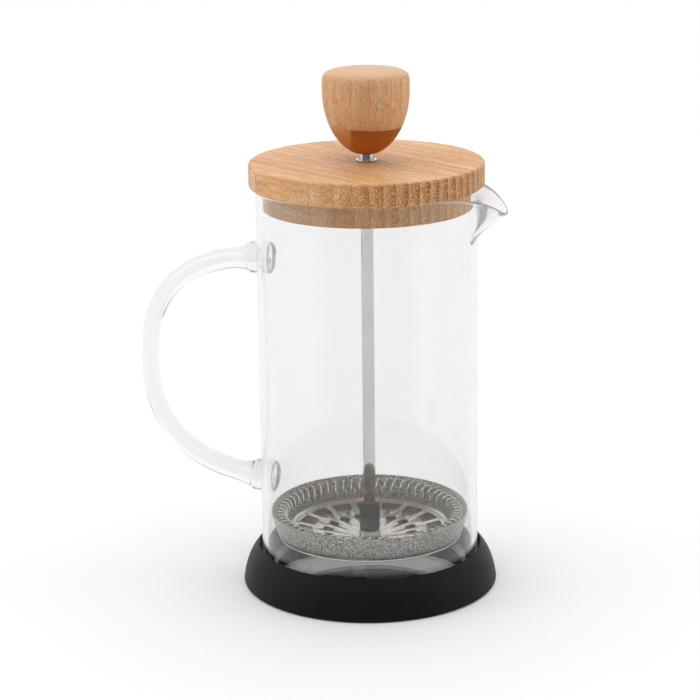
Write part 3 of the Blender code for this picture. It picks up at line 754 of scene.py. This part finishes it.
def buildSteelTurnings():
    low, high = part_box("guide_bush")
    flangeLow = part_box("lid_disc")[1].z + bushPiece["flangeGap"]
    flangeHigh = flangeLow + bushPiece["flange"]
    bore = bushPiece["bore"]
    tube = bushPiece["tube"]
    corners = [(bore, low.z, 0.1 * mm), (tube, low.z, 0.2 * mm),
               (tube, flangeLow, 0), (high.x, flangeLow, 0.12 * mm),
               (high.x, flangeHigh, 0.25 * mm), (tube, flangeHigh, 0.15 * mm),
               (tube, high.z, 0.22 * mm), (bore, high.z, 0.22 * mm)]
    turnSteel("guideBush", "guide_bush", corners, "polished_steel", "bush")

    low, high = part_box("plunger_rod")
    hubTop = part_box("rod_hub")[1].z + rodPiece["hubGap"]
    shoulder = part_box("knob")[0].z
    thread = rodPiece["thread"]
    corners = [(0, low.z, 0), (thread, low.z, 0.4 * mm), (thread, hubTop, 0), (high.x, hubTop, 0.2 * mm),
               (high.x, shoulder, 0.2 * mm), (thread, shoulder, 0), (thread, high.z, 0.4 * mm),
               (0, high.z, 0)]
    turnSteel("plungerRod", "plunger_rod", corners, "polished_steel", "plunger")

    low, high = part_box("rod_hub")
    bore = hubPiece["bore"]
    chamfer = hubPiece["chamfer"]
    corners = [(bore, low.z, 0.1 * mm), (high.x, low.z, 0.25 * mm), (high.x, high.z - chamfer, 0.15 * mm),
               (high.x - chamfer, high.z, 0.12 * mm), (bore, high.z, 0.1 * mm)]
    turnSteel("rodHub", "rod_hub", corners, "brushed_steel", "plunger")

    low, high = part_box("plate_collar")
    corners = [(bore, low.z, 0.1 * mm), (high.x, low.z, 0.1 * mm),
               (high.x, high.z, 0.3 * mm), (bore, high.z, 0.1 * mm)]
    turnSteel("plateCollar", "plate_collar", corners, "polished_steel", "filter")


buildSteelTurnings()
print("steel turned")


# filter
filterPiece = {
    "flat": 6.0 * mm,          # flat centre of the nested plates
    "slope": 0.112,            # of the mesh and the lower plate
    "outerSlope": 0.35,        # of the same two, near the edge
    "outerWidth": 7.3 * mm,    # and how far in from the cup's rim that begins
    "fold": 2.0 * mm,
    "meshThickness": 0.35 * mm,
    "meshDraft": 2.4 * mm,     # how much narrower the cup is at its foot
    "meshCorner": 3.0 * mm,
    "plateSlope": 0.175,       # of the upper plate
    "plateThickness": 0.7 * mm,
    "crossThickness": 0.8 * mm,
    "bore": 2.4 * mm,
    "cutEdge": 0.12 * mm,      # bevel on the punched edges
    "springGap": 0.3 * mm,     # between the upper plate's rim and the spring
    "plateSides": 180,
}
windowRow = {"count": 16, "inner": 23.4 * mm, "outer": 29.6 * mm, "bridge": 2.6 * mm}
holeRow = {"count": 16, "circle": 17.2 * mm, "radius": 2.2 * mm}
armRow = {"count": 6, "inner": 8.5 * mm, "outer": 33.0 * mm, "bridge": 5.0 * mm}
springPiece = {
    "coils": 60,
    "coilSteps": 22,
    "wire": 0.45 * mm,         # radius
    "sides": 8,
    "squareness": 0.72,        # 1 for round coils, less for square ones
    "lean": 0.5 * mm,          # how far the top of each coil leans out along the cup's wall
}


def dish(radius, steep):
    f = filterPiece
    return f["slope"] * max(0, min(radius, steep) - f["flat"]) + f["outerSlope"] * max(0, radius - steep)


def plateRecipe():
    # cuts a row of windows with even bridges, and a row of round holes, through a turned plate
    tree, bench, given = newRecipe("plateOpenings", [
        ("Windows", "Int"), ("Inner", "Float"), ("Outer", "Float"), ("Bridge", "Float"), ("Turn", "Float"),
        ("Holes", "Int"), ("Hole circle", "Float"), ("Hole radius", "Float"), ("Height", "Float")])
    cutDepth = 20 * mm
    spot = bench.node("GeometryNodeInputPosition", {}, {})
    half = math.pi / given.out("Windows")

    def squared(value):  # rounds a circle out towards a square
        return bench.math("ABSOLUTE", value) ** 0.3 * bench.math("SIGN", value)

    width = given.out("Outer") - given.out("Inner")
    radius = given.out("Inner") + width * (squared(spot.part("X")) * 0.5 + 0.5)
    angle = squared(spot.part("Y")) * (half - given.out("Bridge") * 0.5 / radius)
    sector = bench.vector(radius * bench.math("COSINE", angle), radius * bench.math("SINE", angle),
                          given.out("Height") + spot.part("Z") * cutDepth)
    window = bench.node("GeometryNodeMeshCylinder", {}, {"Vertices": 64, "Radius": 1.0, "Depth": 1.0})
    window = bench.node("GeometryNodeSetPosition", {}, {"Geometry": window, "Position": sector})
    hole = bench.node("GeometryNodeMeshCylinder", {}, {"Vertices": 32, "Radius": given.out("Hole radius"),
                                                       "Depth": cutDepth})
    hole = bench.node("GeometryNodeTransform", {}, {
        "Geometry": hole, "Translation": bench.vector(given.out("Hole circle"), 0.0, given.out("Height"))})
    index = bench.node("GeometryNodeInputIndex", {}, {})
    rows = []
    for shape, count, shift in ((window, given.out("Windows"), given.out("Turn")),
                                (hole, given.out("Holes"), 0.5)):
        points = bench.node("GeometryNodePoints", {}, {"Count": count})
        turn = bench.vector(0.0, 0.0, (index + shift) * math.tau / count)
        rows.append(bench.node("GeometryNodeInstanceOnPoints", {}, {"Points": points, "Instance": shape,
                                                                    "Rotation": turn}))
    cutters = bench.node("GeometryNodeJoinGeometry", {}, {"Geometry": rows})
    cutters = bench.node("GeometryNodeRealizeInstances", {}, {"Geometry": cutters})
    plate = bench.node("GeometryNodeMeshBoolean", {"operation": "DIFFERENCE", "solver": "EXACT"},
                       {0: given.out("Geometry"), 1: cutters})
    closeRecipe(bench, plate, "plate_steel")
    return tree


def springRecipe():
    # a coil spring bent into a closed ring
    tree, bench, given = newRecipe("edgeSpring", [
        ("Coils", "Int"), ("Coil steps", "Int"), ("Ring radius", "Float"), ("Half width", "Float"),
        ("Half height", "Float"), ("Height", "Float"), ("Wire", "Float"), ("Sides", "Int"),
        ("Squareness", "Float"), ("Lean", "Float")])
    count = given.out("Coils") * given.out("Coil steps")
    ring = bench.node("GeometryNodeCurvePrimitiveCircle", {}, {"Resolution": count, "Radius": 1.0})
    index = bench.node("GeometryNodeInputIndex", {}, {})
    around = index * math.tau / count
    coil = index * math.tau / given.out("Coil steps")

    def squared(wave):
        return bench.math("ABSOLUTE", wave) ** given.out("Squareness") * bench.math("SIGN", wave)

    rise = squared(bench.math("SINE", coil))
    radius = given.out("Ring radius") + given.out("Half width") * squared(bench.math("COSINE", coil))
    radius = radius + given.out("Lean") * rise
    path = bench.vector(radius * bench.math("COSINE", around), radius * bench.math("SINE", around),
                        given.out("Height") + given.out("Half height") * rise)
    ring = bench.node("GeometryNodeSetPosition", {}, {"Geometry": ring, "Position": path})
    wire = bench.node("GeometryNodeCurvePrimitiveCircle", {}, {"Resolution": given.out("Sides"),
                                                               "Radius": given.out("Wire")})
    closeRecipe(bench, bench.node("GeometryNodeCurveToMesh", {}, {"Curve": ring, "Profile Curve": wire}),
                "spring_steel")
    return tree


def roundEdges(piece, width):
    # small bevel on the cut edges, applied to the mesh
    sharp = math.radians(40)
    bevel = piece.modifiers.new("edges", "BEVEL")
    bevel.width = width
    bevel.segments = 2
    bevel.limit_method = "ANGLE"
    bevel.angle_limit = sharp
    ready = piece.evaluated_get(bpy.context.evaluated_depsgraph_get())
    mesh = bpy.data.meshes.new_from_object(ready)
    piece.modifiers.remove(bevel)
    piece.data = mesh
    mesh.shade_smooth()
    mesh.set_sharp_from_angle(angle=sharp)


def buildFilter():
    f = filterPiece
    low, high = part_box("filter_mesh")
    steep = high.x - f["outerWidth"]
    foot = high.x - f["meshDraft"]
    thick = f["meshThickness"]
    fold = f["fold"]

    def level(radius, base):
        return base + dish(radius, steep)

    # mesh cup, with flat-disc coordinates for the weave
    corners = [(f["bore"], low.z + thick, 0), (f["flat"], low.z + thick, 0.5 * mm),
               (steep, level(steep, low.z) + thick, fold),
               (foot - thick, level(foot, low.z) + thick, f["meshCorner"] - thick),
               (high.x - thick, high.z, 0.1 * mm), (high.x, high.z, 0.1 * mm),
               (foot, level(foot, low.z), f["meshCorner"]), (steep, level(steep, low.z), fold),
               (f["flat"], low.z, 0.5 * mm), (f["bore"], low.z, 0)]
    cup = tidyMesh(turnOutline("filterMesh", softCorners(corners, 6), 192))
    cloth = cup.data.uv_layers.new(name="cloth")
    for loop in cup.data.loops:
        spot = cup.data.vertices[loop.vertex_index].co
        away = math.hypot(spot.x, spot.y)
        path = away + max(0, spot.z - level(foot, low.z)) * (away > foot - 2 * mm)
        cloth.data[loop.index].uv = (spot.x / away * path, spot.y / away * path)
    place(cup, "mesh_steel", "filter", ["filter_mesh"])

    # upper plate with its raised rim
    plateLow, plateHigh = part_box("spiral_plate")
    rim = plateHigh.x
    thick = f["plateThickness"]
    rise = f["plateSlope"] * (rim - f["flat"])
    inner = f["plateSlope"] * (rim - 2 * thick - f["flat"])
    corners = [(f["bore"], plateLow.z, 0), (f["flat"], plateLow.z, 0.6 * mm),
               (rim, plateLow.z + rise, 0.4 * mm), (rim, plateHigh.z, 0.3 * mm),
               (rim - thick, plateHigh.z, 0.3 * mm),
               (rim - 2 * thick, plateLow.z + inner + thick, 0.6 * mm),
               (f["flat"], plateLow.z + thick, 0.6 * mm), (f["bore"], plateLow.z + thick, 0)]
    plate = turnOutline("spiralPlate", softCorners(corners, 5), f["plateSides"])
    recipe = plateRecipe()
    plate = cook("spiralPlate", recipe, {
        "Windows": windowRow["count"], "Inner": windowRow["inner"], "Outer": windowRow["outer"],
        "Bridge": windowRow["bridge"], "Turn": 0.0, "Holes": holeRow["count"],
        "Hole circle": holeRow["circle"], "Hole radius": holeRow["radius"], "Height": plateLow.z}, plate)
    tidyMesh(plate)
    roundEdges(plate, f["cutEdge"])
    place(plate, "plate_steel", "filter", ["spiral_plate"], "brushed_steel")

    # lower plate: hub, arms and rim
    crossLow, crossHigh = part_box("cross_plate")
    foot = crossHigh.x
    thick = f["crossThickness"]
    corners = [(f["bore"], crossLow.z, 0), (f["flat"], crossLow.z, 0.6 * mm),
               (steep, level(steep, crossLow.z), fold), (foot, level(foot, crossLow.z), 0.2 * mm),
               (foot, level(foot, crossLow.z) + thick, 0.2 * mm),
               (steep, level(steep, crossLow.z) + thick, fold),
               (f["flat"], crossLow.z + thick, 0.6 * mm), (f["bore"], crossLow.z + thick, 0)]
    cross = turnOutline("crossPlate", softCorners(corners, 5), f["plateSides"])
    cross = cook("crossPlate", recipe, {
        "Windows": armRow["count"], "Inner": armRow["inner"], "Outer": armRow["outer"],
        "Bridge": armRow["bridge"], "Turn": 0.5, "Holes": 0,
        "Hole circle": holeRow["circle"], "Hole radius": holeRow["radius"], "Height": crossLow.z}, cross)
    tidyMesh(cross)
    roundEdges(cross, f["cutEdge"])
    place(cross, "plate_steel", "filter", ["cross_plate"], "brushed_steel")

    # edge spring
    springLow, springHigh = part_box("edge_spring")
    wire = springPiece["wire"]
    inside = rim + f["springGap"] + wire
    outside = springHigh.x - wire
    spring = cook("edgeSpring", springRecipe(), {
        "Coils": springPiece["coils"], "Coil steps": springPiece["coilSteps"],
        "Ring radius": (inside + outside) / 2, "Half width": (outside - inside) / 2,
        "Half height": (springHigh.z - springLow.z) / 2 - wire,
        "Height": (springHigh.z + springLow.z) / 2, "Wire": wire, "Sides": springPiece["sides"],
        "Squareness": springPiece["squareness"], "Lean": springPiece["lean"]})
    place(tidyMesh(spring, 60), "spring_steel", "filter", ["edge_spring"])

    # stud head under the plates
    studLow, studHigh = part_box("cross_plate_stud")
    dimple = studLow.z + studPiece["recess"]
    seat = studLow.z + studPiece["head"]
    thread = studPiece["thread"]
    corners = [(0, dimple, 0), (studPiece["flat"], dimple, 0.1 * mm),
               (studPiece["rim"], studLow.z, 0.3 * mm), (studHigh.x, studLow.z, 0.5 * mm),
               (studHigh.x, seat, 0.15 * mm),
               (thread, seat, 0), (thread, studHigh.z, 0.4 * mm), (0, studHigh.z, 0)]
    turnSteel("crossPlateStud", "cross_plate_stud", corners, "polished_steel", "filter")


buildFilter()
print("filter pressed")

# the insert is glued out of sight in the knob, so its CAD solid stays
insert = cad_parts["knob_insert"]
insert.data.materials.clear()
insert.data.materials.append(finishes["brass"])


# floor and light
studio = {
    "floor": (0.88, 0.88, 0.88, 1.0),
    "sky": 1.155,         # brightness overhead, behind and beside the press
    "front": 0.16,        # brightness low down on the camera's side
    "shade": (0.05, 0.05, 0.05, 1.0),  # what polished metal mirrors of the floor in front
    "shadeNear": 0.2,     # metres in front of the axis where that shade starts
    "shadeFar": 0.36,     # and where it is full
    "edge": 5.0,          # half the floor's width
    "flagSides": (0.62, 0.86),  # sines of the angles where dark flags begin and are full,
    "flagTop": (0.45, 0.75),    # seen through glass only, where they draw its edges
    "flagDepth": 0.9,
}
softboxes = {  # azimuth and elevation in degrees, distance and size in metres, brightness
    "leftBox": {"azimuth": -62, "elevation": 28, "distance": 1.9, "width": 0.5, "height": 1.3,
                "glow": 1.6},
    "rightBox": {"azimuth": 104, "elevation": 26, "distance": 2.0, "width": 0.4, "height": 1.3,
                 "glow": 1.2},
    "topBox": {"azimuth": 190, "elevation": 68, "distance": 2.0, "width": 1.0, "height": 0.8,
               "glow": 0.9},
}


def buildFloor():
    mesh = bpy.data.meshes.new("floor")
    edge = studio["edge"]
    corners = [(-edge, -edge, 0), (edge, -edge, 0), (edge, edge, 0), (-edge, edge, 0)]
    mesh.from_pydata(corners, [], [(0, 1, 2, 3)])
    floor = bpy.data.objects.new("floor", mesh)
    bpy.context.scene.collection.objects.link(floor)
    material, bench = newFinish("paper")
    spot = bench.grain((1, 1, 1), (0, 0, math.radians(camera["azimuth"])))
    ahead = -spot.part("Y")
    away = (spot.part("X") * spot.part("X") + ahead * ahead) ** 0.5
    inFront = bench.ease(ahead / (away + 0.001), 0.55, 0.85)
    beyond = bench.ease(away, studio["shadeNear"], studio["shadeFar"])
    path = bench.node("ShaderNodeLightPath", {}, {})
    mirrored = path.out("Is Glossy Ray") * (1.0 - path.out("Is Transmission Ray"))
    pale = bench.node("ShaderNodeBsdfDiffuse", {}, {"Color": studio["floor"]})
    dark = bench.node("ShaderNodeBsdfDiffuse", {}, {"Color": studio["shade"]})
    shader = bench.node("ShaderNodeMixShader", {}, {0: mirrored * inFront * beyond, 1: pale, 2: dark})
    bench.node("ShaderNodeOutputMaterial", {}, {"Surface": shader})
    mesh.materials.append(material)


def lightSky():
    world = bpy.data.worlds.new("studio")
    world.use_nodes = True
    world.node_tree.nodes.clear()
    bpy.context.scene.world = world
    bench = Bench(world.node_tree)
    way = bench.node("ShaderNodeTexCoord", {}, {}).out("Generated")
    turn = math.radians(camera["azimuth"])
    facing = bench.node("ShaderNodeVectorMath", {"operation": "DOT_PRODUCT"},
                        {0: way, 1: (math.sin(turn), -math.cos(turn), 0)}).out("Value")
    lowDown = 1.0 - bench.ease(way.part("Z"), 0.2, 0.7)
    dark = bench.ease(facing, 0.3, 0.75) * lowDown
    through = bench.node("ShaderNodeLightPath", {}, {}).out("Is Transmission Ray")
    across = bench.node("ShaderNodeVectorMath", {"operation": "DOT_PRODUCT"},
                        {0: way, 1: (math.cos(turn), math.sin(turn), 0)}).out("Value")
    flags = bench.ease(bench.math("ABSOLUTE", across), *studio["flagSides"])
    flags = bench.math("MAXIMUM", flags, bench.ease(way.part("Z"), *studio["flagTop"]))
    dark = dark * (1.0 - through) + flags * through * studio["flagDepth"]
    glow = studio["sky"] - (studio["sky"] - studio["front"]) * dark
    sky = bench.node("ShaderNodeBackground", {}, {"Color": (1.0, 1.0, 1.0, 1.0), "Strength": glow})
    bench.node("ShaderNodeOutputWorld", {}, {"Surface": sky})


def hangSoftboxes():
    centre = Vector((0, 0, pressTop / 2))
    for name, box in softboxes.items():
        turn = math.radians(box["azimuth"])
        tilt = math.radians(box["elevation"])
        away = Vector((math.sin(turn) * math.cos(tilt), -math.cos(turn) * math.cos(tilt), math.sin(tilt)))
        data = bpy.data.lights.new(name, "AREA")
        data.shape = "RECTANGLE"
        data.size = box["width"]
        data.size_y = box["height"]
        data.energy = box["glow"] * math.pi * box["width"] * box["height"]
        lamp = bpy.data.objects.new(name, data)
        lamp.location = centre + away * box["distance"]
        lamp.rotation_euler = away.to_track_quat("Z", "Y").to_euler()
        bpy.context.scene.collection.objects.link(lamp)


buildFloor()
lightSky()
hangSoftboxes()
bpy.context.scene.view_settings.view_transform = "Standard"
print("studio lit")
